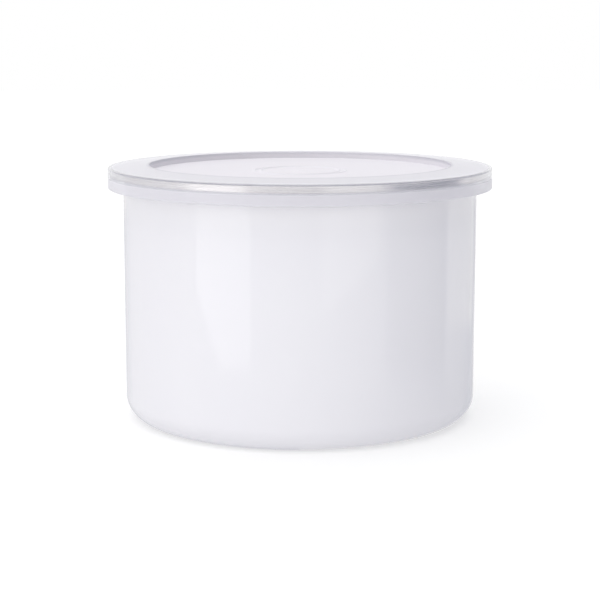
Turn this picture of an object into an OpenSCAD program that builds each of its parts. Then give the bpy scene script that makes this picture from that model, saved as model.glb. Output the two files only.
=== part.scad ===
// Lidded storage bowl. A drawn steel shell is enamelled inside and out, a thin steel ring is
// rolled over its flanged rim, and a flexible lid presses down over the ring.
// The bowl stands on z = 0 and its axis is Z.

/* [Bowl] */
// Outside diameter of the wall, over the enamel
body_d = 140; // [100:1:200]
// Height from the resting face to the top of the rim ring
bowl_h = 99.1; // [60:0.1:160]
// Outside radius of the rounded corner between the base and the wall
corner_r = 9; // [5:0.5:16]
// Thickness of the steel sheet
sheet_t = 0.6; // [0.4:0.05:0.9]
// Thickness of the enamel on each face of the sheet
enamel_t = 0.2; // [0.1:0.05:0.3]
// Outside radius of the bend between the wall and the flange
bend_r = 1; // [0.6:0.1:1.4]
// Reach of the enamelled flange beyond the wall
flange_w = 4.1; // [3.1:0.1:6]

/* [Base] */
// Width of the flat ring that the bowl rests on
rest_w = 9; // [4:0.5:16]
// Height of the raised panel inside the resting ring
panel_rise = 0.6; // [0.2:0.1:1.5]
// Width of the slope up to the raised panel
panel_slope_w = 3; // [1:0.5:6]

/* [Rim ring] */
// Thickness of the ring's strip
ring_t = 0.3; // [0.2:0.05:0.4]
// Height of the rolled ring
ring_h = 2.7; // [2:0.1:4]
// Outside radius of the ring's two outer corners, above and below its flat face
ring_corner_r = 0.5; // [0.4:0.1:1]
// Room between the flange's edge and the inside of the ring
ring_room = 0.4; // [0.1:0.1:0.8]
// Distance from the bend to the ring's lips
lip_gap = 0.15; // [0.05:0.05:0.4]
// Width of the lips that grip the flange
lip_w = 0.4; // [0.2:0.1:0.8]
// Width of the slope between the lips and the ring's level stretch
lip_slope_w = 0.7; // [0.3:0.1:1]

/* [Lid] */
// Wall thickness of the lid
lid_t = 0.8; // [0.6:0.1:2]
// Height of the lid's skirt, from its lower edge to the top of the ledge
skirt_h = 8; // [6.8:0.1:14]
// Gap between the rim ring and the inside of the skirt
skirt_gap = 0.4; // [0.2:0.05:1]
// Gap between the rim ring and the snap bead, with the skirt stretched as the lid lifts off
bead_gap = 0.1; // [0.05:0.05:0.15]
// Radius of the snap bead's section
bead_r = 0.5; // [0.4:0.1:0.8]
// Gap between the bottom of the rim ring and the snap bead
bead_drop = 0.1; // [0.05:0.05:0.5]
// Width of the ledge between the outer edge and the recess
ledge_w = 16.4; // [12:0.1:30]
// Rise of the ledge towards the recess
crown = 0.9; // [0.2:0.1:1.5]
// Depth of the stacking recess below the highest part of the ledge
recess_depth = 2.8; // [1.5:0.1:3.5]
// Draft of the recess wall, from top to bottom
recess_draft = 0.3; // [0.1:0.1:1]
// Radius of the lid's outer top edge
edge_r = 0.6; // [0.5:0.1:2]
// Radius of the recess's upper edge
recess_edge_r = 0.3; // [0.2:0.1:0.8]

/* [Hidden] */
$fn = 180;
// Excess that carries a cutting shape past the face it cuts
over = 1;

body_r = body_d / 2;
wall_t = sheet_t + 2 * enamel_t;
flange_r = body_r + flange_w;
sheet_edge_r = flange_r - enamel_t;
flange_z = bowl_h - ring_h / 2;
flange_under_z = flange_z - wall_t / 2;
bend_c = [body_r + bend_r, flange_under_z - bend_r];
corner_c = [body_r - corner_r, corner_r];
rest_r = body_r - corner_r - rest_w;

ring_r = flange_r + ring_room + ring_t;
ring_corner_c = [ring_r - ring_corner_r, ring_h / 2 - ring_corner_r];
lip_in_r = body_r + bend_r + lip_gap;
lip_out_r = lip_in_r + lip_w;
level_start_r = lip_out_r + lip_slope_w;

skirt_in_r = ring_r + skirt_gap;
lid_r = skirt_in_r + lid_t;
// The ledge lies level over the ring's level stretch and rises from there to the recess
ledge_level_r = level_start_r;
ledge_z = bowl_h + lid_t;
crown_z = ledge_z + crown;
skirt_z = ledge_z - skirt_h;
recess_r = lid_r - ledge_w;
recess_floor_r = recess_r - recess_draft;
recess_floor_z = crown_z - recess_depth;
edge_c = [lid_r - edge_r, ledge_z - edge_r];
recess_edge_c = [recess_r + recess_edge_r, crown_z - recess_edge_r];
skirt_end_c = [lid_r - lid_t / 2, skirt_z + lid_t / 2];
bead_c = [ring_r + bead_gap + bead_r, bowl_h - ring_h - bead_drop - bead_r];

// Sections are drawn as [radius, height] and turned about the axis

// A box between two opposite corners of a section
module box(from, to) {
    translate(from) square(to - from);
}

// Everything above the bowl's surface at a depth inside its outer face, out to end_r
module bowl_fill(depth, end_r) {
    top_z = bowl_h + over;
    difference() {
        union() {
            box([0, depth], [corner_c.x, top_z]);
            translate(corner_c) circle(corner_r - depth);
            box([0, corner_r], [body_r - depth, top_z]);
            box([0, flange_under_z + depth], [end_r, top_z]);
            difference() {
                box([0, bend_c.y], [bend_c.x, top_z]);
                translate(bend_c) circle(bend_r + depth);
            }
        }
        polygon([
            [0, -over], [0, panel_rise + depth], [rest_r - panel_slope_w, panel_rise + depth],
            [rest_r, depth], [rest_r, -over]
        ]);
    }
}

// One layer of the bowl, between two depths, from the base out to the flange's end_r
module bowl_layer(outer_depth, inner_depth, end_r) {
    rotate_extrude() difference() {
        bowl_fill(outer_depth, end_r);
        bowl_fill(inner_depth, end_r + over);
    }
}

// The steel stops at the outside coat where that wraps the flange's edge
module steel_shell() {
    color("#6f7377") bowl_layer(enamel_t, enamel_t + sheet_t, sheet_edge_r);
}

// The outside coat wraps the flange's edge up to the top of the inside coat
module enamel_outside() {
    color("#f1f0f6") {
        bowl_layer(0, enamel_t, sheet_edge_r);
        rotate_extrude() box([sheet_edge_r, flange_under_z], [flange_r, flange_under_z + wall_t]);
    }
}

module enamel_inside() {
    color("#f4f4f7") bowl_layer(enamel_t + sheet_t, wall_t, sheet_edge_r);
}

// A quarter disc that rounds an upper corner: side is 1 for one that faces outward and -1 for
// one that faces the axis
module rounded_corner(centre, radius, side) {
    intersection() {
        translate(centre) circle(radius);
        translate(centre) mirror([side < 0 ? 1 : 0, 0]) square(radius);
    }
}

// The rolled ring's filled outline at a depth inside its outer face, about the flange's middle:
// the lips from end_r, a slope, a level stretch, rounded corners and the flat face
module ring_fill(depth, end_r) {
    level = ring_h / 2 - depth;
    grip = wall_t / 2 + ring_t - depth;
    face_r = ring_r - depth;
    polygon([
        [end_r, -grip], [lip_out_r, -grip], [level_start_r, -level],
        [ring_corner_c.x, -level], [face_r, -ring_corner_c.y],
        [face_r, ring_corner_c.y], [ring_corner_c.x, level],
        [level_start_r, level], [lip_out_r, grip], [end_r, grip]
    ]);
    for (side = [-1, 1]) {
        translate([ring_corner_c.x, side * ring_corner_c.y]) circle(ring_corner_r - depth);
    }
}

module rim_ring() {
    color("#b9b4ae") translate([0, 0, flange_z]) rotate_extrude() difference() {
        ring_fill(0, lip_in_r);
        ring_fill(ring_t, lip_in_r - over);
    }
}

// The underside runs from the axis outward, and then the outside and the top back to the axis
module lid_section() {
    polygon([
        [0, recess_floor_z - lid_t],
        [recess_floor_r + lid_t, recess_floor_z - lid_t],
        [recess_r + lid_t, crown_z - lid_t],
        [ledge_level_r, bowl_h],
        [skirt_in_r, bowl_h],
        [skirt_in_r, skirt_end_c.y],
        [lid_r, skirt_end_c.y],
        [lid_r, edge_c.y],
        [edge_c.x, ledge_z],
        [ledge_level_r, ledge_z],
        [recess_edge_c.x + recess_edge_r, crown_z],
        [recess_edge_c.x, crown_z],
        [recess_r, recess_edge_c.y],
        [recess_floor_r, recess_floor_z],
        [0, recess_floor_z]
    ]);
    rounded_corner(edge_c, edge_r, 1);
    rounded_corner(recess_edge_c, recess_edge_r, -1);
    translate(skirt_end_c) circle(lid_t / 2);
    translate(bead_c) circle(bead_r);
}

module lid() {
    color("#e6e4ea") rotate_extrude() lid_section();
}

steel_shell();
enamel_outside();
enamel_inside();
rim_ring();
lid();
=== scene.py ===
"""Looks of a lidded storage bowl: vitreous enamel on a drawn steel shell, a rolled stainless
rim ring and a translucent press-on lid, in a plain white studio. Sizes are in millimetres
until a mesh is made, and Blender's units are metres."""

import logging
import math
from dataclasses import dataclass
from enum import Enum
from typing import Any, Optional, Sequence, Union

import bpy
import numpy as np
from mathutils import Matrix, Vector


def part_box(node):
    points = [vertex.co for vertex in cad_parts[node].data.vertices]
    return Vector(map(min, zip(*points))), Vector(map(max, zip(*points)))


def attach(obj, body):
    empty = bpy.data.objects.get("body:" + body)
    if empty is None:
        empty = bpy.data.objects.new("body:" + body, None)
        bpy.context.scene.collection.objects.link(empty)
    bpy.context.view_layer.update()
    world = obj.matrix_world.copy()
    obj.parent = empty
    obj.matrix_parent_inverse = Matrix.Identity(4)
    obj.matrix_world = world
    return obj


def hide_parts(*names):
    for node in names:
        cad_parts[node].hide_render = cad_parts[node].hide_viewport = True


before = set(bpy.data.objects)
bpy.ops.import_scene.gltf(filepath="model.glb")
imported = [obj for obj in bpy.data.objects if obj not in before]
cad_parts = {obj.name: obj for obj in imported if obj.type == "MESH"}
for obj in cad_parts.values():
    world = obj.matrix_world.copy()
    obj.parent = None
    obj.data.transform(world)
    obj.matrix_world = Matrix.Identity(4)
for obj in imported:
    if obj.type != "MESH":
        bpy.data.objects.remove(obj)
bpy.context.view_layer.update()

LOG = logging.getLogger("bowl")
MM = 0.001
TINY = 1e-6
# Sides that meet at a wider angle than this make no corner
STRAIGHT = math.pi - 1e-4
# Mesh attributes: the way round the axis and along the section, and the shares of two patterns:
# the lid's texture and the enamel's painted light near the rim, and the enamel's thin coat
# and the lid's painted shade along its top edges
AROUND = "around"
BROAD = "broad_share"
EDGE = "edge_share"
# A noise texture stays between these over most of a surface
NOISE_LOW, NOISE_HIGH = 0.3, 0.7
Corner = tuple[float, float, float]
Values = Union[float, np.ndarray]
Node = bpy.types.Node
Socket = bpy.types.NodeSocket


class Body(Enum):
    """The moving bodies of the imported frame."""

    BOWL = "bowl"
    LID = "lid"


class Slot(Enum):
    """The record's material slots; no piece here takes them."""

    OUTSIDE = "enamel_outside"
    INSIDE = "enamel_inside"
    RING = "stainless_rim"
    LID = "lid_plastic"


# ---------------------------------------------------------------- sections and meshes


def filleted(corners: Sequence[Corner], spacing: float, turn: float = 6.0) -> np.ndarray:
    """Rounds the corners of an open section.

    At a corner of radius R between sides that meet at the angle a, the arc touches each side
    R / tan(a/2) from the corner, and its centre lies R / sin(a/2) along the bisector.

    Args:
        corners: radius, height and fillet radius of each corner, in mm.
        spacing: longest straight step between points, in mm.
        turn: largest turn between points of an arc, in degrees.

    Returns:
        The section's points, one row of radius and height each, in mm.
    """
    places = np.array([c[:2] for c in corners], float)
    pieces = [places[:1]]
    for i in range(1, len(corners) - 1):
        radius = corners[i][2]
        back, ahead = places[i - 1] - places[i], places[i + 1] - places[i]
        back, ahead = back / np.hypot(*back), ahead / np.hypot(*ahead)
        meet = math.acos(float(np.clip(back @ ahead, -1, 1)))
        if radius <= 0 or meet > STRAIGHT:
            pieces.append(places[i : i + 1])
            continue
        middle = back + ahead
        centre = places[i] + middle / np.hypot(*middle) * radius / math.sin(meet / 2)
        start = places[i] + back * radius / math.tan(meet / 2) - centre
        sweep = math.copysign(math.pi - meet, float(ahead[0] * back[1] - ahead[1] * back[0]))
        count = max(2, math.ceil(math.degrees(abs(sweep)) / turn)) + 1
        angles = math.atan2(start[1], start[0]) + np.linspace(0, sweep, count)
        pieces.append(centre + radius * np.column_stack((np.cos(angles), np.sin(angles))))
    pieces.append(places[-1:])
    return spaced(np.vstack(pieces), spacing)


def spaced(points: np.ndarray, spacing: float) -> np.ndarray:
    """Adds points along each straight step that is longer than spacing.

    Args:
        points: the section's points, in mm.
        spacing: longest step wanted, in mm.

    Returns:
        The points with the added ones between them.
    """
    steps = np.hypot(*np.diff(points, axis=0).T)
    parts = np.maximum(1, np.ceil(steps / spacing - TINY)).astype(int)
    keys = np.concatenate(([0.0], np.cumsum(parts)))
    wanted = np.arange(keys[-1] + 1)
    return np.column_stack([np.interp(wanted, keys, points[:, k]) for k in (0, 1)])


def inward(points: np.ndarray, depth: float) -> np.ndarray:
    """Moves a section's points to their left, square to the section.

    The direction at a point is square to the chord between its neighbours, lengthened by
    1 / cos(half the turn), at most twice, so that straight sides keep their distance.

    Args:
        points: the section's points, in mm.
        depth: distance to move, in mm.

    Returns:
        The moved points, as many as were given.
    """
    steps = np.diff(points, axis=0)
    steps = steps / np.hypot(*steps.T)[:, None]
    before = np.vstack((steps[:1], steps))
    after = np.vstack((steps, steps[-1:]))
    along = before + after
    along = along / np.hypot(*along.T)[:, None]
    stretch = 1 / np.maximum(np.sum(along * after, axis=1), 0.5)
    left = np.column_stack((-along[:, 1], along[:, 0]))
    return points + left * (depth * stretch)[:, None]


def round_end(start: np.ndarray, end: np.ndarray, count: int) -> np.ndarray:
    """A half circle to the right of the way from start to end, without its two ends.

    With c the middle and v the arm from c to start, a point is c + v cos t + w sin t, where w
    is v turned a quarter to the left.

    Args:
        start: radius and height where the half circle starts, in mm.
        end: radius and height where it ends.
        count: points wanted between them.

    Returns:
        The points between start and end.
    """
    centre, arm = (start + end) / 2, (start - end) / 2
    angles = np.linspace(0, math.pi, count + 2)[1:-1, None]
    return centre + arm * np.cos(angles) + np.array([-arm[1], arm[0]]) * np.sin(angles)


def window(values: np.ndarray, low: float, high: float, ease: float) -> np.ndarray:
    """A share that is 1 between low and high and eases to 0 over ease outside them.

    The share s falls evenly over the ease and is then smoothed to s^2 (3 - 2 s).

    Args:
        values: the values to judge.
        low: lowest value that has the whole share.
        high: highest value that has it.
        ease: width over which the share falls.

    Returns:
        The share at each value.
    """
    outside = np.maximum(low - values, values - high) / ease
    share = 1 - np.clip(outside, 0, 1)
    return share * share * (3 - 2 * share)


def beyond(values: np.ndarray, low: float, ease: float) -> np.ndarray:
    """The share of a window that has no upper end."""
    return window(values, low, math.inf, ease)


def column_angles(segments: int) -> np.ndarray:
    """The angle of each column of a turned surface, in one row, from the back of the bowl."""
    return math.pi / 2 + np.arange(segments)[None, :] * 2 * math.pi / segments


@dataclass(frozen=True)
class Ripple:
    """Shallow waves over a turned surface, as a drawn or moulded wall has.

    The depth at angle t and place s is the mean of cos(m t + a) cos(2 pi s / l + b) over a few
    whole numbers of waves m, so it closes after one turn. Each m has its own chance length l,
    within the spread times the one given.
    """

    height: float
    waves: tuple[int, ...]
    length: float
    seed: int
    spread: tuple[float, float] = (0.7, 1.5)

    def depth(self, angle: np.ndarray, place: np.ndarray) -> np.ndarray:
        """The depth at each angle and place.

        Args:
            angle: angles about the axis, in radians.
            place: distances along or across the surface, in mm.

        Returns:
            Depths in mm, in an array shaped as angle and place broadcast.
        """
        chance = np.random.default_rng(self.seed)
        total = np.zeros(np.broadcast(angle, place).shape)
        for count in self.waves:
            turn, shift = chance.uniform(0, 2 * math.pi, 2)
            length = self.length * chance.uniform(*self.spread)
            total += np.cos(count * angle + turn) * np.cos(2 * math.pi * place / length + shift)
        return total * self.height / len(self.waves)


@dataclass
class Turned:
    """A surface of revolution about the bowl's axis.

    Its section is a closed outline in radius and height that runs outward below, up the
    outside and back above, so that (angle, section) faces point outwards. A point of the
    surface is (r cos t, r sin t, z) for each section point (r, z) and angle t. The two shares
    hold one value for each section point: the first is the lid's texture, and on the enamel
    painted light near the rim; the edge share is the enamel's thin coat, and on the lid painted
    shade along its top edges. Swell and lift move each vertex out and up, in mm.
    """

    name: str
    section: np.ndarray
    segments: int = 360
    broad: Values = 0.0
    edge: Values = 0.0
    swell: Values = 0.0
    lift: Values = 0.0

    def grid_faces(self) -> list[np.ndarray]:
        """Corner indices of the faces: quads between rows, and fans at the poles.

        Returns:
            Arrays of quads and of triangles, each one row per face.
        """
        on_axis = self.section[:, 0] < TINY
        closed = not on_axis.any()
        index = np.arange(len(self.section) * self.segments).reshape(-1, self.segments)
        index[on_axis] = index[on_axis][:, :1]
        low = index if closed else index[:-1]
        high = np.roll(index, -1, axis=0) if closed else index[1:]
        quads = np.stack((low, np.roll(low, -1, 1), np.roll(high, -1, 1), high), -1)
        quads = quads.reshape(-1, 4)
        below = quads[:, 0] == quads[:, 1]
        above = quads[:, 2] == quads[:, 3]
        faces = [quads[~below & ~above], quads[below][:, [0, 2, 3]], quads[above][:, [0, 1, 2]]]
        return [f for f in faces if len(f)]

    def vectors(self, *parts: np.ndarray) -> np.ndarray:
        """One row for each vertex, from parts that broadcast to section points by columns."""
        shape = (len(self.section), self.segments)
        return np.stack([np.broadcast_to(p, shape) for p in parts], -1).reshape(-1, len(parts))

    def build(self) -> bpy.types.Object:
        """Makes the mesh object, in metres, smooth shaded, with its pattern attributes.

        Returns:
            The object, linked to the scene.
        """
        angles = column_angles(self.segments)
        cos, sin = np.cos(angles), np.sin(angles)
        r, z = self.section[:, :1] + self.swell, self.section[:, 1:] + self.lift
        steps = np.hypot(*np.diff(self.section, axis=0).T)
        along = np.concatenate(([0.0], np.cumsum(steps)))[:, None]
        reach = float(self.section[:, 0].max())
        shares = {
            name: np.repeat(np.broadcast_to(share, len(self.section)), self.segments)
            for name, share in ((BROAD, self.broad), (EDGE, self.edge))
        }
        places = self.vectors(r * cos, r * sin, z) * MM
        around = self.vectors(reach * cos, reach * sin, along) * MM
        return make_mesh(self.name, places, self.grid_faces(), around, shares)


def make_mesh(
    name: str,
    places: np.ndarray,
    faces: Sequence[np.ndarray],
    around: np.ndarray,
    shares: dict[str, np.ndarray],
) -> bpy.types.Object:
    """Puts whole arrays into a new mesh, without the vertices that no face uses.

    Args:
        name: the piece's name.
        places: vertex places, in metres.
        faces: arrays of corner indices, one row per face.
        around: for each vertex, its angle as a point on a circle and its way along the section.
        shares: attributes by name that hold a share from 0 to 1 for each vertex.

    Returns:
        The new object, at the origin.
    """
    flat = np.concatenate([f.ravel() for f in faces])
    sizes = np.concatenate([np.full(len(f), f.shape[1]) for f in faces])
    used, corners = np.unique(flat, return_inverse=True)
    mesh = bpy.data.meshes.new(name)
    mesh.vertices.add(len(used))
    mesh.vertices.foreach_set("co", places[used].astype(np.float32).ravel())
    mesh.loops.add(len(corners))
    mesh.loops.foreach_set("vertex_index", corners.astype(np.int32))
    mesh.polygons.add(len(sizes))
    starts = np.concatenate(([0], np.cumsum(sizes)[:-1]))
    mesh.polygons.foreach_set("loop_start", starts.astype(np.int32))
    mesh.polygons.foreach_set("use_smooth", np.ones(len(sizes), bool))
    mesh.attributes.new(AROUND, "FLOAT_VECTOR", "POINT").data.foreach_set(
        "vector", around[used].astype(np.float32).ravel()
    )
    for share_name, values in shares.items():
        mesh.attributes.new(share_name, "FLOAT", "POINT").data.foreach_set(
            "value", values[used].astype(np.float32)
        )
    mesh.update(calc_edges=True)
    mesh.validate()
    piece = bpy.data.objects.new(name, mesh)
    bpy.context.scene.collection.objects.link(piece)
    return piece


# ---------------------------------------------------------------- colours and nodes


def linear(hex_colour: str) -> tuple[float, float, float, float]:
    """Turns an sRGB hex colour into the linear one that shaders use.

    Below 0.04045 a channel is divided by 12.92, and above it is ((c + 0.055) / 1.055) ^ 2.4.

    Args:
        hex_colour: a colour such as "#f0f0f4".

    Returns:
        Linear red, green and blue, and an alpha of 1.
    """
    channels = [int(hex_colour[i : i + 2], 16) / 255 for i in (1, 3, 5)]
    r, g, b = [c / 12.92 if c <= 0.04045 else ((c + 0.055) / 1.055) ** 2.4 for c in channels]
    return (r, g, b, 1.0)


def add_node(
    tree: bpy.types.NodeTree,
    kind: str,
    settings: Optional[dict[str, Any]] = None,
    inputs: Optional[dict[Union[str, int], Any]] = None,
) -> Node:
    """Adds a shader node with its settings and links.

    Args:
        tree: the node tree.
        kind: the node's type after "ShaderNode", such as "Math".
        settings: the node's own settings by name.
        inputs: for each input, by name or number, a value to set, a socket to link, or a node
            whose first output is linked.

    Returns:
        The new node.
    """
    node = tree.nodes.new("ShaderNode" + kind)
    for name, value in (settings or {}).items():
        setattr(node, name, value)
    for key, value in (inputs or {}).items():
        source = value.outputs[0] if isinstance(value, Node) else value
        if isinstance(source, Socket):
            tree.links.new(source, node.inputs[key])
        else:
            node.inputs[key].default_value = source
    return node


def new_material(name: str) -> bpy.types.Material:
    """Makes an empty node material.

    Args:
        name: the material's name.

    Returns:
        The material, with no nodes in its tree.
    """
    material = bpy.data.materials.new(name)
    material.use_nodes = True
    material.node_tree.nodes.clear()
    return material


def per_metre(size_mm: float) -> float:
    """The pattern scale at which one repeat is size_mm wide."""
    return 1 / (size_mm * MM)


# ---------------------------------------------------------------- finishes


@dataclass(frozen=True)
class VitreousEnamel:
    """White vitreous enamel, sprayed and fired on steel: opaque glass.

    The eye sees an even cool white under a clear mirror gloss, with the faint orange peel
    of the melt and a greyer tone where the coat pulls thin over bends. A lighter white towards
    the rim is painted light, which lifts the shade that the lid casts on the wall below it.
    """

    name: str
    white: str = "#efeef3"
    cloud: str = "#ecebf1"
    # Painted light: a lighter white towards the rim, lifting the shade the lid casts on the wall
    thick: str = "#f8f7fb"
    thin: str = "#d3d6de"
    ior: float = 1.55
    smoothest: float = 0.014
    roughest: float = 0.028
    peel_mm: float = 3.5
    cloud_mm: float = 32.0
    peel_height_mm: float = 0.0012

    def material(self) -> bpy.types.Material:
        """Builds the material: clouded white, a thin coat tone and a painted light tone near the
        rim, slight peel under the gloss.

        Returns:
            The material.
        """
        material = new_material(self.name)
        tree = material.node_tree
        place = add_node(tree, "TexCoord").outputs["Object"]
        cloud = add_node(
            tree,
            "TexNoise",
            inputs={"Vector": place, "Scale": per_metre(self.cloud_mm), "Detail": 2.0},
        )
        # Share of painted light, the lighter white towards the rim
        thick = add_node(tree, "Attribute", {"attribute_name": BROAD}).outputs["Fac"]
        thin = add_node(tree, "Attribute", {"attribute_name": EDGE}).outputs["Fac"]
        colour: Any = linear(self.cloud)
        for share, tone in ((cloud, self.white), (thick, self.thick), (thin, self.thin)):
            colour = add_node(
                tree, "Mix", {"data_type": "RGBA"}, {0: share, 6: colour, 7: linear(tone)}
            ).outputs[2]
        gloss = add_node(
            tree,
            "MapRange",
            inputs={
                "Value": cloud,
                "From Min": NOISE_LOW,
                "From Max": NOISE_HIGH,
                "To Min": self.smoothest,
                "To Max": self.roughest,
            },
        )
        peel = add_node(
            tree,
            "TexNoise",
            inputs={"Vector": place, "Scale": per_metre(self.peel_mm), "Detail": 1.0},
        )
        bump = add_node(
            tree, "Bump", inputs={"Distance": self.peel_height_mm * MM, "Height": peel}
        )
        shader = add_node(
            tree,
            "BsdfPrincipled",
            inputs={"Base Color": colour, "Roughness": gloss, "IOR": self.ior, "Normal": bump},
        )
        add_node(tree, "OutputMaterial", inputs={"Surface": shader})
        return material


@dataclass(frozen=True)
class RolledStainless:
    """Stainless strip, rolled and polished in a lathe.

    The eye sees a warm grey metal whose fine turning lines run round the rim and draw its
    highlights out along it.
    """

    name: str = "stainless_strip_polished"
    metal: str = "#f2edec"
    line_metal: str = "#e8e3e1"
    smoothest: float = 0.165
    roughest: float = 0.33
    line_mm: float = 0.22
    patch_mm: float = 30.0
    line_height_mm: float = 0.0006

    def material(self) -> bpy.types.Material:
        """Builds the material: turning lines in colour, roughness and bump.

        Returns:
            The material.
        """
        material = new_material(self.name)
        tree = material.node_tree
        around = add_node(tree, "Attribute", {"attribute_name": AROUND}).outputs["Vector"]
        # Real turning lines are under 0.1 mm apart; these are drawn coarser so that they show
        across, along = per_metre(self.line_mm), per_metre(self.patch_mm)
        stretched = add_node(
            tree, "Mapping", inputs={"Vector": around, "Scale": (along, along, across)}
        )
        lines = add_node(
            tree, "TexNoise", inputs={"Vector": stretched, "Scale": 1.0, "Detail": 3.0}
        )
        colour = add_node(
            tree,
            "Mix",
            {"data_type": "RGBA"},
            {0: lines, 6: linear(self.line_metal), 7: linear(self.metal)},
        ).outputs[2]
        gloss = add_node(
            tree,
            "MapRange",
            inputs={
                "Value": lines,
                "From Min": NOISE_LOW,
                "From Max": NOISE_HIGH,
                "To Min": self.roughest,
                "To Max": self.smoothest,
            },
        )
        bump = add_node(
            tree, "Bump", inputs={"Distance": self.line_height_mm * MM, "Height": lines}
        )
        shader = add_node(
            tree,
            "BsdfPrincipled",
            inputs={"Base Color": colour, "Metallic": 1.0, "Roughness": gloss, "Normal": bump},
        )
        add_node(tree, "OutputMaterial", inputs={"Surface": shader})
        return material


@dataclass(frozen=True)
class PickledSteel:
    """Low-carbon steel sheet, drawn and pickled before enamelling.

    The eye sees a dull mid grey with a fine etched grain and slow darker clouds.
    """

    name: str = "steel_sheet_pickled"
    metal: str = "#8a8d90"
    cloud: str = "#6d7074"
    smoothest: float = 0.4
    roughest: float = 0.6
    grain_mm: float = 0.6
    grain_height_mm: float = 0.01
    grain_strength: float = 0.4
    cloud_mm: float = 18.0

    def material(self) -> bpy.types.Material:
        """Builds the material: clouded metal with an etched grain.

        Returns:
            The material.
        """
        material = new_material(self.name)
        tree = material.node_tree
        place = add_node(tree, "TexCoord").outputs["Object"]
        cloud, grain = (
            add_node(
                tree,
                "TexNoise",
                inputs={"Vector": place, "Scale": per_metre(size), "Detail": detail},
            )
            for size, detail in ((self.cloud_mm, 3.0), (self.grain_mm, 2.0))
        )
        colour = add_node(
            tree,
            "Mix",
            {"data_type": "RGBA"},
            {0: cloud, 6: linear(self.cloud), 7: linear(self.metal)},
        ).outputs[2]
        gloss = add_node(
            tree,
            "MapRange",
            inputs={"Value": grain, "To Min": self.smoothest, "To Max": self.roughest},
        )
        bump = add_node(
            tree,
            "Bump",
            inputs={
                "Strength": self.grain_strength,
                "Distance": self.grain_height_mm * MM,
                "Height": grain,
            },
        )
        shader = add_node(
            tree,
            "BsdfPrincipled",
            inputs={"Base Color": colour, "Metallic": 1.0, "Roughness": gloss, "Normal": bump},
        )
        add_node(tree, "OutputMaterial", inputs={"Surface": shader})
        return material


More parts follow.
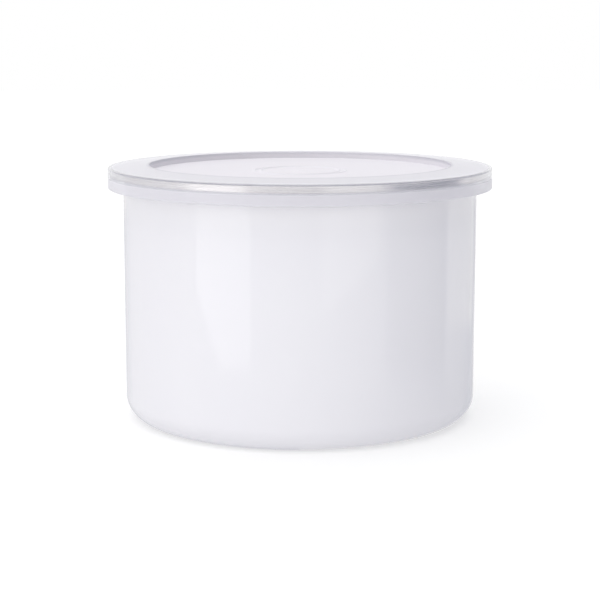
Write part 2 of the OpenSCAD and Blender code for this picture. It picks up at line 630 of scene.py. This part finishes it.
@dataclass(frozen=True)
class MilkyPolyethylene:
    """Low-density polyethylene without pigment, injection moulded: milky and flexible.

    The eye sees what lies close behind it, greyed, through a satin gloss, and where the
    plastic is textured it turns white at a slant. With n the IOR, a the angle outside a face
    and b the bent angle inside it, a polished face lets a view through in the share
    c ^ (1 / cos b), for the haze in the wall grows with the way through it, and c lies
    between the haziest and the clearest. A textured face does in the share
    clear_textured ^ (((n cos b - cos a) / (n - 1)) ^ 2): the delay that its roughness gives
    light grows with n cos b - cos a, and spoils the view as its square. The bends of the lid's
    top edges carry painted shade: a darker colour through which nothing shows, standing for
    the way they turn the view aside.
    """

    name: str = "polyethylene_natural_moulded"
    milk: str = "#e9e6ec"
    haze: str = "#f1f2fa"
    # Painted shade along the lid's rounded top edges, where the view is shut
    edge: str = "#8c8a9a"
    haziest: float = 0.8
    clearest: float = 0.82
    clear_textured: float = 0.2
    scattered: float = 0.04
    ior: float = 1.51
    smoothest: float = 0.085
    roughest: float = 0.115
    roughness_textured: float = 0.5
    satin_mm: float = 0.5
    flow_mm: float = 22.0
    flow_bend: float = 0.6
    satin_height_mm: float = 0.0004

    def see_through(
        self, tree: bpy.types.NodeTree, facing: Socket, clear: Node, textured: Socket
    ) -> Node:
        """The share in which a face lets a view through, as the class says.

        With n the IOR, cos b is sqrt(1 - (1 - cos^2 a) / n^2).

        Args:
            tree: the material's node tree.
            facing: the socket that gives 1 - cos a.
            clear: the node that gives the polished face's share, head on.
            textured: the socket that gives the texture's share.

        Returns:
            The node that gives the share.
        """
        cosine = add_node(tree, "Math", {"operation": "SUBTRACT"}, {0: 1.0, 1: facing})
        squared = add_node(tree, "Math", {"operation": "MULTIPLY"}, {0: cosine, 1: cosine})
        bent = add_node(
            tree,
            "Math",
            {"operation": "MULTIPLY_ADD"},
            {0: squared, 1: self.ior**-2, 2: 1 - self.ior**-2},
        )
        bent_cosine = add_node(tree, "Math", {"operation": "SQRT"}, {0: bent})
        inside = add_node(tree, "Math", {"operation": "MULTIPLY"}, {0: bent_cosine, 1: self.ior})
        delay = add_node(tree, "Math", {"operation": "SUBTRACT"}, {0: inside, 1: cosine})
        delay_squared = add_node(tree, "Math", {"operation": "MULTIPLY"}, {0: delay, 1: delay})
        texture_base = self.clear_textured ** ((self.ior - 1) ** -2)
        past_texture = add_node(
            tree, "Math", {"operation": "POWER"}, {0: texture_base, 1: delay_squared}
        )
        way = add_node(tree, "Math", {"operation": "DIVIDE"}, {0: 1.0, 1: bent_cosine})
        past_haze = add_node(tree, "Math", {"operation": "POWER"}, {0: clear, 1: way})
        return add_node(
            tree, "Mix", {"data_type": "FLOAT"}, {0: textured, 2: past_haze, 3: past_texture}
        )

    def mirrored(self, tree: bpy.types.NodeTree, facing: Socket) -> Node:
        """The share of light that a face mirrors: h + (1 - h) (1 - cos a)^5.

        With n the IOR, the share head on is h = ((n - 1) / (n + 1))^2.

        Args:
            tree: the material's node tree.
            facing: the socket that gives 1 - cos a.

        Returns:
            The node that gives the share.
        """
        head_on = ((self.ior - 1) / (self.ior + 1)) ** 2
        slant = add_node(tree, "Math", {"operation": "POWER"}, {0: facing, 1: 5.0})
        return add_node(
            tree, "Math", {"operation": "MULTIPLY_ADD"}, {0: slant, 1: 1 - head_on, 2: head_on}
        )

    def material(self) -> bpy.types.Material:
        """Builds the material: milk and see-through mixed by angle, under a satin gloss, with
        painted shade along the top edges.

        Returns:
            The material.
        """
        material = new_material(self.name)
        tree = material.node_tree
        place = add_node(tree, "TexCoord").outputs["Object"]
        flow = add_node(
            tree,
            "TexNoise",
            inputs={
                "Vector": place,
                "Scale": per_metre(self.flow_mm),
                "Detail": 3.0,
                "Distortion": self.flow_bend,
            },
        )
        satin = add_node(
            tree,
            "TexNoise",
            inputs={"Vector": place, "Scale": per_metre(self.satin_mm), "Detail": 2.0},
        )
        textured = add_node(tree, "Attribute", {"attribute_name": BROAD}).outputs["Fac"]
        # Share of painted shade along the lid's rounded top edges
        bend = add_node(tree, "Attribute", {"attribute_name": EDGE}).outputs["Fac"]
        clear, uneven = (
            add_node(
                tree,
                "MapRange",
                inputs={
                    "Value": flow,
                    "From Min": NOISE_LOW,
                    "From Max": NOISE_HIGH,
                    "To Min": low,
                    "To Max": high,
                },
            )
            for low, high in ((self.haziest, self.clearest), (self.smoothest, self.roughest))
        )
        facing = add_node(tree, "LayerWeight", inputs={"Blend": 0.5}).outputs["Facing"]
        through_face = self.see_through(tree, facing, clear, textured)
        # Painted shade: the top edges let no view through, and the loop below paints them in the
        # darker edge colour
        through = add_node(tree, "Mix", {"data_type": "FLOAT"}, {0: bend, 2: through_face, 3: 0.0})
        colour: Any = linear(self.haze)
        for share, tone in ((textured, self.milk), (bend, self.edge)):
            colour = add_node(
                tree, "Mix", {"data_type": "RGBA"}, {0: share, 6: colour, 7: linear(tone)}
            ).outputs[2]
        gloss = add_node(
            tree,
            "Mix",
            {"data_type": "FLOAT"},
            {0: textured, 2: uneven, 3: self.roughness_textured},
        )
        bump = add_node(
            tree, "Bump", inputs={"Distance": self.satin_height_mm * MM, "Height": satin}
        )
        face = add_node(
            tree,
            "BsdfPrincipled",
            inputs={"Base Color": colour, "Roughness": gloss, "IOR": self.ior, "Normal": bump},
        )
        # The milk meets light from inside the wall as well, where it has no gloss of its own
        core = add_node(tree, "BsdfDiffuse", inputs={"Color": colour})
        from_inside = add_node(tree, "NewGeometry").outputs["Backfacing"]
        turned_back = add_node(tree, "MixShader", inputs={0: from_inside, 1: face, 2: core})
        glow = add_node(tree, "BsdfTranslucent", inputs={"Color": colour})
        milk = add_node(tree, "MixShader", inputs={0: self.scattered, 1: turned_back, 2: glow})
        open_part = add_node(tree, "BsdfTransparent")
        mirror = add_node(tree, "BsdfGlossy", inputs={"Roughness": gloss, "Normal": bump})
        mirrored = self.mirrored(tree, facing)
        clear_side = add_node(tree, "MixShader", inputs={0: mirrored, 1: open_part, 2: mirror})
        shader = add_node(tree, "MixShader", inputs={0: through, 1: milk, 2: clear_side})
        add_node(tree, "OutputMaterial", inputs={"Surface": shader})
        return material


def finish(piece: bpy.types.Object, material: bpy.types.Material, body: Body) -> None:
    """Dresses a new piece and makes it ride.

    Args:
        piece: the piece's object.
        material: its finish.
        body: the body that it moves with.
    """
    piece.data.materials.append(material)
    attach(piece, body.value)
    LOG.info("%s: %d faces, rides on %s", piece.name, len(piece.data.polygons), body.value)


# ---------------------------------------------------------------- sub-assemblies


@dataclass
class EnamelledBowl:
    """The drawn steel shell and its two enamel coats.

    The outside face is one section from the middle of the base to the edge of the flange,
    and each layer lies at its own depth inside that face. A thin place is a share of the thin
    tone of the enamel, and the rim's painted light a share of its lighter tone, which lifts the
    lid's shade on the wall. An ease is the height over which one of them or the ripple fades.
    """

    wall_radius: float = 70.0
    corner_radius: float = 9.0
    sheet: float = 0.6
    coat: float = 0.2
    bend_radius: float = 1.0
    foot_radius: float = 52.0
    panel_rise: float = 0.6
    panel_slope: float = 3.0
    panel_fillet: float = 5.0
    edge_fillet: float = 0.15
    # Fewer than a turned surface has otherwise, to stay under 200,000 triangles
    outside_segments: int = 352
    bend_thin: float = 0.1
    bend_thin_width: float = 1.6
    foot_thin: float = 0.3
    foot_thin_width: float = 2.5
    inside_thin: float = 0.5
    # Painted light: how much lighter the wall is painted towards the rim, from what height, and
    # over what ease
    rim_thick: float = 0.75
    rim_thick_from: float = 90.0
    rim_thick_ease: float = 10.0
    ripple: Ripple = Ripple(0.05, (2, 3, 5, 7, 9, 12), 70.0, 11)
    ripple_from: float = 14.0
    ripple_to: float = 84.0
    ripple_ease: float = 9.0
    # A section point counts as the wall's up to this far inside the wall's outside face
    wall_depth: float = 2.0

    def flange(self) -> tuple[float, float]:
        """Radius of the flange's edge, and height of its underside, from the frame."""
        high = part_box("enamel_outside")[1]
        return high.x / MM, high.z / MM - self.sheet - 2 * self.coat

    def outside(self, edge: float) -> np.ndarray:
        """The outside face's section.

        Args:
            edge: radius on the flange's underside where it ends, in mm.

        Returns:
            The section's points, from the axis to that radius.
        """
        _, under = self.flange()
        return filleted(
            (
                (0.0, self.panel_rise, 0.0),
                (self.foot_radius - self.panel_slope, self.panel_rise, self.panel_fillet),
                (self.foot_radius, 0.0, self.panel_fillet),
                (self.wall_radius, 0.0, self.corner_radius),
                (self.wall_radius, under, self.bend_radius),
                (edge, under, 0.0),
            ),
            spacing=2.0,
            turn=4.0,
        )

    def thin_places(self, section: np.ndarray) -> np.ndarray:
        """How thin the coat is along a section: most at the foot, less at the flange's bend.

        Each place adds its share times exp(-(d / w)^2) at the distance d, with w its width.

        Args:
            section: the coat's section, in mm.

        Returns:
            The thin tone's share at each point.
        """
        _, under = self.flange()
        bend = np.hypot(section[:, 0] - self.wall_radius, section[:, 1] - under)
        foot = np.hypot(section[:, 0] - self.foot_radius, section[:, 1])
        at_bend = self.bend_thin * np.exp(-((bend / self.bend_thin_width) ** 2))
        return at_bend + self.foot_thin * np.exp(-((foot / self.foot_thin_width) ** 2))

    def thick_places(self, section: np.ndarray) -> np.ndarray:
        """Painted light along a section: a lighter white that grows over the last stretch to the
        rim, lifting the lid's shade.
        """
        return self.rim_thick * beyond(section[:, 1], self.rim_thick_from, self.rim_thick_ease)

    def swell(self, section: np.ndarray, segments: int) -> np.ndarray:
        """How far each point of the wall stands out: nothing at the base or the bend.

        Args:
            section: the coat's section, in mm.
            segments: columns of vertices round the axis.

        Returns:
            Distances in mm, one row for each section point and one column for each angle.
        """
        height = section[:, 1:]
        on_wall = section[:, :1] > self.wall_radius - self.wall_depth
        share = window(height, self.ripple_from, self.ripple_to, self.ripple_ease) * on_wall
        return share * self.ripple.depth(column_angles(segments), height)

    def outside_coat(self) -> bpy.types.Object:
        """Makes the outside coat: the face, the wrapped edge and the side against the steel.

        Returns:
            The coat's object.
        """
        edge, under = self.flange()
        face = self.outside(edge)
        top = under + self.sheet + 2 * self.coat
        wrap = filleted(
            ((edge, under, 0.0), (edge, top, self.edge_fillet), (edge - self.coat, top, 0.0)),
            spacing=0.5,
        )
        back = inward(self.outside(edge - self.coat), self.coat)[::-1]
        section = np.vstack((face, wrap[1:], back))
        turned = Turned(
            "enamel_outside_coat",
            section,
            self.outside_segments,
            # The first share is painted light towards the rim
            broad=self.thick_places(section),
            edge=self.thin_places(section),
            swell=self.swell(section, self.outside_segments),
        )
        return turned.build()

    def inside_coat(self) -> bpy.types.Object:
        """Makes the inside coat: the side against the steel and the bowl's inside face.

        Returns:
            The coat's object.
        """
        edge, _ = self.flange()
        line = self.outside(edge - self.coat)
        steel_side = inward(line, self.coat + self.sheet)
        face = inward(line, 2 * self.coat + self.sheet)[::-1]
        steel_side[0, 0] = face[-1, 0] = 0.0
        section = np.vstack((steel_side, face))
        thin = self.inside_thin * self.thin_places(section)
        turned = Turned("enamel_inside_coat", section, edge=thin)
        turned.swell = self.swell(section, turned.segments)
        return turned.build()

    def build(self) -> None:
        """Builds both coats, dresses them and the steel between them."""
        outside = self.outside_coat()
        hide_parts("enamel_outside")
        outer = VitreousEnamel("vitreous_enamel_outside")
        finish(outside, outer.material(), Body.BOWL)
        inside = self.inside_coat()
        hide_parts("enamel_inside")
        inner = VitreousEnamel("vitreous_enamel_inside", white="#f1f1f3", cloud="#eeeef1")
        finish(inside, inner.material(), Body.BOWL)
        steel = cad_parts["steel_shell"]
        steel.data.materials.clear()
        steel.data.materials.append(PickledSteel().material())
        LOG.info("steel_shell: the frame's own mesh, dressed")


@dataclass
class RimRing:
    """The stainless strip rolled over the flange.

    Half its section, about the middle of the flange, runs from a lip that grips the flange,
    slopes out to a level stretch and turns a corner to the flat outer face.
    """

    strip: float = 0.3
    lip_start: float = 71.15
    lip_end: float = 71.55
    lip_fillet: float = 0.6
    grip: float = 0.8
    level_start: float = 72.25
    level_fillet: float = 1.0
    corner: float = 0.34

    def build(self) -> None:
        """Builds the ring and dresses it.

        The section is the strip's outer face, a rounded lip, the inner face one strip
        thickness inside it, and the other lip.
        """
        low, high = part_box("rim_ring")
        reach, middle = high.x / MM, (high.z + low.z) / 2 / MM
        level = (high.z - low.z) / 2 / MM
        half = (
            (self.lip_start + self.strip / 2, self.grip, 0.0),
            (self.lip_end, self.grip, self.lip_fillet),
            (self.level_start, level, self.level_fillet),
            (reach, level, self.corner),
        )
        lower = [(r, middle - z, fillet) for r, z, fillet in half]
        upper = [(r, middle + z, fillet) for r, z, fillet in reversed(half)]
        face = filleted(lower + upper, spacing=0.3, turn=7.5)
        back = inward(face, self.strip)[::-1]
        upper_lip = round_end(face[-1], back[0], count=5)
        lower_lip = round_end(back[-1], face[0], count=5)
        section = np.vstack((face, upper_lip, back, lower_lip))
        ring = Turned("rim_ring_rolled", section).build()
        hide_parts("rim_ring")
        finish(ring, RolledStainless().material(), Body.BOWL)


@dataclass(frozen=True)
class EdgeTone:
    """A line of painted shade along a rounded edge: its share, half width and border, in mm."""

    share: float
    width: float
    border: float

    def at(self, section: np.ndarray, middle: tuple[float, float]) -> np.ndarray:
        """The line's share at each section point, by its distance from the edge's middle."""
        away = np.hypot(*(section - np.array(middle)).T)
        return self.share * window(away, 0.0, self.width, self.border)


@dataclass
class PressOnLid:
    """The flexible lid: a ledge over the ring, a skirt with a snap bead, a stacking recess.

    A pair of fine raised circles and the gate mark stand in the middle of the recess. Each
    corner of the gate mark is a radius, a rise above the floor and a fillet radius. A border
    is the width over which a finish fades, and an ease that over which a warp does.
    """

    # Fewer than a turned surface has otherwise. Few enough to stay under 200,000
    # triangles
    segments: int = 320
    wall: float = 0.8
    skirt_inside: float = 75.2
    ledge_level: float = 72.25
    ledge_fillet: float = 6.0
    crown: float = 0.9
    edge_radius: float = 0.6
    recess_radius: float = 59.6
    recess_floor_radius: float = 59.3
    recess_edge: float = 0.3
    recess_depth: float = 2.8
    floor_fillet: float = 0.25
    floor_under_fillet: float = 1.0
    under_fillet: float = 0.4
    bead_radius: float = 0.5
    bead_centre: tuple[float, float] = (75.4, 95.8)
    bead_points: int = 9
    # Keeps the underside off the ring's top, where two faces would lie in one place
    seat_gap: float = 0.03
    skirt_polish: float = 0.4
    skirt_slack: float = 0.2
    skirt_border: float = 0.8
    seat_border: float = 1.0
    ring_border: float = 0.4
    ledge_wear: float = 0.35
    ledge_border: float = 2.0
    # Lines of painted shade along the outer top edge and along the recess's edge
    outer_tone: EdgeTone = EdgeTone(0.22, 0.1, 0.25)
    recess_tone: EdgeTone = EdgeTone(0.4, 0.2, 0.4)
    circle_radii: tuple[float, ...] = (18.2, 15.6)
    circle_height: float = 0.25
    circle_half_foot: float = 0.55
    circle_half_top: float = 0.25
    circle_foot_fillet: float = 0.15
    circle_top_fillet: float = 0.12
    gate_mark: tuple[Corner, ...] = ((2.2, 0.0, 0.2), (1.7, 0.2, 0.2), (1.2, 0.1, 0.2))
    warp: Ripple = Ripple(0.10, (1, 2, 3, 4, 5, 7), 34.0, 5)
    warp_from: float = 6.0
    warp_to: float = 48.0
    warp_ease: float = 6.0

    def heights(self) -> tuple[float, float]:
        """Heights of the skirt's lower edge and of the ledge's crown, from the frame, in mm."""
        low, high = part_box("lid")
        return low.z / MM, high.z / MM

    def reach(self) -> float:
        """Outside radius in mm: the least reach of the frame's lid, whose outline has facets."""
        low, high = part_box("lid")
        return min(high.x, high.y, -low.x, -low.y) / MM

    def ring_low(self) -> float:
        """Height of the rim ring's lower side, from the frame, in mm."""
        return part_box("rim_ring")[0].z / MM

    def section(self) -> np.ndarray:
        """The lid's closed section, from the axis below, round the skirt, to the axis above.

        Returns:
            The section's points, in mm.
        """
        skirt_z, crown_z = self.heights()
        ledge_z = crown_z - self.crown
        seat_z = ledge_z - self.wall + self.seat_gap
        floor_z = crown_z - self.recess_depth
        under_z = floor_z - self.wall
        turn_z = skirt_z + self.wall / 2
        below = filleted(
            [
                (0.0, under_z, 0.0),
                (self.recess_floor_radius + self.wall, under_z, self.floor_under_fillet),
                (self.recess_radius + self.wall, crown_z - self.wall, self.under_fillet),
                (self.ledge_level, seat_z, self.ledge_fillet),
                (self.skirt_inside, seat_z, self.under_fillet),
                *self.bead(),
                (self.skirt_inside, turn_z, 0.0),
            ],
            spacing=1.5,
        )
        above = filleted(
            [
                (self.reach(), turn_z, 0.0),
                (self.reach(), self.ring_low() - self.ring_border, 0.0),
                (self.reach(), self.ring_low(), 0.0),
                (self.reach(), ledge_z, self.edge_radius),
                (self.ledge_level, ledge_z, self.ledge_fillet),
                (self.recess_radius, crown_z, self.recess_edge),
                (self.recess_floor_radius, floor_z, self.floor_fillet),
                *self.raised_marks(floor_z),
                (0.0, floor_z, 0.0),
            ],
            spacing=1.5,
        )
        return np.vstack((below, round_end(below[-1], above[0], count=9), above))

    def bead(self) -> list[Corner]:
        """Corners of the snap bead: the part of its circle that stands inside the skirt.

        Returns:
            The corners from the uppermost down, without fillets.
        """
        radius, height = self.bead_centre
        half = math.acos((radius - self.skirt_inside) / self.bead_radius)
        return [
            (radius + self.bead_radius * math.cos(a), height + self.bead_radius * math.sin(a), 0.0)
            for a in math.pi + np.linspace(-half, half, self.bead_points)
        ]

    def raised_marks(self, floor_z: float) -> list[Corner]:
        """Corners of the raised circles and the gate mark, from the outermost inwards.

        Args:
            floor_z: height of the recess floor, in mm.

        Returns:
            The corners, four for each circle.
        """
        foot, foot_fillet = self.circle_half_foot, self.circle_foot_fillet
        top, top_fillet = self.circle_half_top, self.circle_top_fillet
        circle = (
            (foot, 0.0, foot_fillet),
            (top, self.circle_height, top_fillet),
            (-top, self.circle_height, top_fillet),
            (-foot, 0.0, foot_fillet),
        )
        circles = [(r + out, up, fillet) for r in self.circle_radii for out, up, fillet in circle]
        return [(r, floor_z + up, fillet) for r, up, fillet in (*circles, *self.gate_mark)]

    def textured(self, section: np.ndarray) -> np.ndarray:
        """Where the mould is textured, along the section.

        It is polished beside the ring and over it, and partly polished down the skirt below
        it. The ledge's top is worn a little smoother than the rest.

        Args:
            section: the lid's section, in mm.

        Returns:
            The texture's share at each point, 0 to 1.
        """
        radius, height = section.T
        top_side = height > self.heights()[1] - self.crown - self.wall / 2
        near = beyond(height, self.ring_low(), self.ring_border)
        polish = self.skirt_polish + (1 - self.skirt_polish) * near
        skirt = beyond(radius, self.skirt_inside - self.skirt_slack, self.skirt_border)
        over_ring = near * beyond(radius, self.ledge_level, self.seat_border) * ~top_side
        ledge = beyond(radius, self.recess_radius + self.wall, self.ledge_border)
        worn = 1 - self.ledge_wear * ledge * top_side
        return (1 - np.maximum(polish * skirt, over_ring)) * worn

    def bend(self, section: np.ndarray) -> np.ndarray:
        """The painted shade along the rounded top edges: the outer one and that of the recess.

        The middle of an edge of radius R lies R (1 - sqrt(1/2)) inside both of its sides.

        Args:
            section: the lid's section, in mm.

        Returns:
            The painted shade's share at each point.
        """
        crown_z = self.heights()[1]
        slack = 1 - math.sqrt(0.5)
        outer, inner = slack * self.edge_radius, slack * self.recess_edge
        outer_middle = (self.reach() - outer, crown_z - self.crown - outer)
        recess_middle = (self.recess_radius + inner, crown_z - inner)
        return np.maximum(
            self.outer_tone.at(section, outer_middle), self.recess_tone.at(section, recess_middle)
        )

    def lift(self, section: np.ndarray) -> np.ndarray:
        """How far each point of the recess floor is warped up: nothing at its wall.

        Args:
            section: the lid's section, in mm.

        Returns:
            Distances in mm, one row for each section point and one column for each angle.
        """
        radius = section[:, :1]
        share = window(radius, self.warp_from, self.warp_to, self.warp_ease)
        return share * self.warp.depth(column_angles(self.segments), radius)

    def build(self) -> None:
        """Builds the lid and dresses it."""
        section = self.section()
        lid = Turned(
            "lid_moulded",
            section,
            self.segments,
            broad=self.textured(section),
            # The edge share is painted shade along the top edges
            edge=self.bend(section),
            lift=self.lift(section),
        ).build()
        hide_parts("lid")
        finish(lid, MilkyPolyethylene().material(), Body.LID)


# ---------------------------------------------------------------- studio


@dataclass(frozen=True)
class Cut:
    """A line across the dome with a panel's light only above it.

    It passes its elevation at its azimuth, in degrees, and rises by its slope per degree. The
    light comes up over the softness. A softness below zero keeps the light under the line.
    """

    elevation: float
    softness: float = 1.0
    azimuth: float = 0.0
    slope: float = 0.0


@dataclass(frozen=True)
class Panel:
    """A soft panel or dark flag on the dome, between two azimuths, in degrees.

    Azimuth 0 is behind the camera and 90 to its right. The level is added to the dome's.
    """

    name: str
    left: float
    right: float
    level: float
    softness: float = 1.5
    cuts: tuple[Cut, ...] = ()


# The band just under the horizon, which the ring shows and the wall doesn't
RING_BAND = (Cut(-5.9, 0.8), Cut(-2.0, -2.0))
# The band below that, which the wall shows
WALL_BAND = (Cut(-6.5, -1.5),)
# The bands round the horizon and above it
HORIZON = (Cut(-3.0, 5.0), Cut(12.0, -6.0))
UPPER = (Cut(5.0, 6.0),)
# The soft top of an upright panel
PANEL_TOP = Cut(14.0, -8.0)


@dataclass
class Studio:
    """A white light tent round a plain pale floor, with its sizes in metres.

    Camera rays see plain white, and all other rays see the tent's own panels. The tent turns
    bluer where it is darker, from its light at the mean level to its shade at the shade's.
    """

    mean: float = 0.87
    fall: float = 0.16
    light: str = "#ffffff"
    shade: str = "#c8d4ff"
    shade_level: float = 0.1
    floor_radius: float = 3.0
    floor_sides: int = 96
    floor_paint: str = "#c8c8c8"
    floor_glow: float = 0.32
    floor_lift: float = 0.13
    eye_height: float = 0.1583
    eye_distance: float = 0.6587
    aim_height: float = 0.04575
    lens_mm: float = 99.53
    sensor_mm: float = 36.0
    nearest: float = 0.01
    farthest: float = 20.0
    panels: tuple[Panel, ...] = (
        Panel("overhead", -190.0, 190.0, 0.75, 1.0, (Cut(45.0, 20.0),)),
        Panel("left_dim", -150.0, -88.0, -0.12, 20.0),
        Panel("left_shade", -150.0, -60.0, -0.12, 30.0, UPPER),
        Panel("right_shade", 20.0, 150.0, -0.2, 30.0, UPPER),
        Panel("left_flag", -190.0, -148.0, -0.15, 20.0, WALL_BAND),
        Panel("back_left", -190.0, -145.0, 0.15, 10.0, HORIZON),
        Panel(
            "bright_panel",
            -69.0,
            -31.6,
            0.8,
            0.6,
            (Cut(-12.0, 0.6), Cut(-9.5, 0.6, -69.0, -0.14), PANEL_TOP),
        ),
        Panel("soft_panel", 14.3, 50.3, 0.4, 1.5, (Cut(-10.3, 0.5, 14.3, 0.054),)),
        Panel("dark_flag", 57.0, 108.0, -0.5, 6.0, (Cut(-12.5, 3.0),)),
        Panel("rim_left", -190.0, -125.0, 0.2, 8.0, RING_BAND),
        Panel("rim_right", 106.0, 190.0, 0.4, 10.0, RING_BAND),
        Panel("bright_strip", 110.0, 154.0, 0.18, 1.0, (Cut(-10.5), PANEL_TOP)),
        Panel("right_flag", 136.0, 160.0, -0.08, 16.0, WALL_BAND),
        Panel("back_right", 145.0, 190.0, 0.2, 10.0, HORIZON),
    )

    def panel_level(
        self, tree: bpy.types.NodeTree, panel: Panel, azimuth: Node, elevation: Node
    ) -> Node:
        """What one panel adds to the dome.

        The share is the eased rise past the left edge, times that before the right edge,
        times each cut's, and the level is that share of the panel's own.

        Args:
            tree: the world's node tree.
            panel: the panel.
            azimuth: the node that gives the direction's azimuth, in degrees.
            elevation: the node that gives its elevation, in degrees.

        Returns:
            The node that gives the level.
        """
        edges = [(azimuth, panel.left, panel.softness), (azimuth, panel.right, -panel.softness)]
        for cut in panel.cuts:
            height = add_node(
                tree,
                "Math",
                {"operation": "MULTIPLY_ADD"},
                {0: azimuth, 1: -cut.slope, 2: elevation},
            )
            edges.append((height, cut.elevation - cut.slope * cut.azimuth, cut.softness))
        level: Any = panel.level
        for value, at, softness in edges:
            eased = add_node(
                tree,
                "MapRange",
                {"interpolation_type": "SMOOTHSTEP"},
                {"Value": value, "From Min": at - softness / 2, "From Max": at + softness / 2},
            )
            level = add_node(tree, "Math", {"operation": "MULTIPLY"}, {0: eased, 1: level})
        level.label = panel.name
        return level

    def tent(self) -> None:
        """Builds the world: the dome's level falls from left to right, plus each panel's."""
        world = bpy.data.worlds.new("light_tent")
        world.use_nodes = True
        tree = world.node_tree
        tree.nodes.clear()
        way = add_node(tree, "TexCoord").outputs["Generated"]
        x, y, z = add_node(tree, "SeparateXYZ", inputs={0: way}).outputs
        ahead = add_node(tree, "Math", {"operation": "MULTIPLY"}, {0: y, 1: -1.0})
        turn = add_node(tree, "Math", {"operation": "ARCTAN2"}, {0: x, 1: ahead})
        azimuth = add_node(tree, "Math", {"operation": "DEGREES"}, {0: turn})
        rise = add_node(tree, "Math", {"operation": "ARCSINE"}, {0: z})
        elevation = add_node(tree, "Math", {"operation": "DEGREES"}, {0: rise})
        level = add_node(
            tree, "Math", {"operation": "MULTIPLY_ADD"}, {0: x, 1: -self.fall, 2: self.mean}
        )
        for panel in self.panels:
            part = self.panel_level(tree, panel, azimuth, elevation)
            level = add_node(tree, "Math", {"operation": "ADD"}, {0: level, 1: part})
        seen = add_node(tree, "LightPath").outputs["Is Camera Ray"]
        strength = add_node(tree, "Mix", {"data_type": "FLOAT"}, {0: seen, 2: level, 3: 1.0})
        full = add_node(
            tree,
            "MapRange",
            inputs={"Value": level, "From Min": self.shade_level, "From Max": self.mean},
        )
        colour: Any = linear(self.shade)
        for share in (full, seen):
            colour = add_node(
                tree, "Mix", {"data_type": "RGBA"}, {0: share, 6: colour, 7: linear(self.light)}
            ).outputs[2]
        dome = add_node(tree, "Background", inputs={"Color": colour, "Strength": strength})
        add_node(tree, "OutputWorld", inputs={"Surface": dome})
        bpy.context.scene.world = world

    def floor(self) -> None:
        """Lays the floor: a matt disc that glows a little, and more to the camera.

        It shows the shade under the bowl, and its lit part comes out plain white.
        """
        angles = np.linspace(0, 2 * math.pi, self.floor_sides, endpoint=False)
        rim = self.floor_radius * np.column_stack((np.cos(angles), np.sin(angles), 0 * angles))
        mesh = bpy.data.meshes.new("studio_floor")
        mesh.from_pydata(rim.tolist(), [], [list(range(len(rim)))])
        floor = bpy.data.objects.new("studio_floor", mesh)
        bpy.context.scene.collection.objects.link(floor)
        material = new_material("matt_white_floor")
        tree = material.node_tree
        seen = add_node(tree, "LightPath").outputs["Is Camera Ray"]
        matt = add_node(tree, "BsdfDiffuse", inputs={"Color": linear(self.floor_paint)})
        lift = add_node(
            tree,
            "Math",
            {"operation": "MULTIPLY_ADD"},
            {0: seen, 1: self.floor_lift, 2: self.floor_glow},
        )
        glow = add_node(tree, "Emission", inputs={"Color": linear(self.light), "Strength": lift})
        both = add_node(tree, "AddShader", inputs={0: matt, 1: glow})
        add_node(tree, "OutputMaterial", inputs={"Surface": both})
        mesh.materials.append(material)
        # Gloss then shows the tent's lower panels instead of the floor
        floor.visible_glossy = False

    def camera(self) -> None:
        """Sets the camera in front, a little above the lid, aimed below the bowl's middle."""
        data = bpy.data.cameras.new("camera")
        data.lens, data.sensor_width = self.lens_mm, self.sensor_mm
        data.clip_start, data.clip_end = self.nearest, self.farthest
        camera = bpy.data.objects.new("camera", data)
        camera.location = (0.0, -self.eye_distance, self.eye_height)
        down = math.atan2(self.eye_height - self.aim_height, self.eye_distance)
        camera.rotation_euler = (math.pi / 2 - down, 0.0, 0.0)
        bpy.context.scene.collection.objects.link(camera)
        bpy.context.scene.camera = camera

    def build(self) -> None:
        """Builds the camera, the tent and the floor."""
        self.camera()
        self.tent()
        self.floor()
        bpy.context.scene.view_settings.view_transform = "Standard"


def main() -> None:
    """Builds the studio and each sub-assembly in order."""
    logging.basicConfig(level=logging.INFO, format="%(message)s")
    Studio().build()
    for part in (EnamelledBowl(), RimRing(), PressOnLid()):
        part.build()
        LOG.info("%s built", type(part).__name__)


if __name__ == "__main__":
    main()
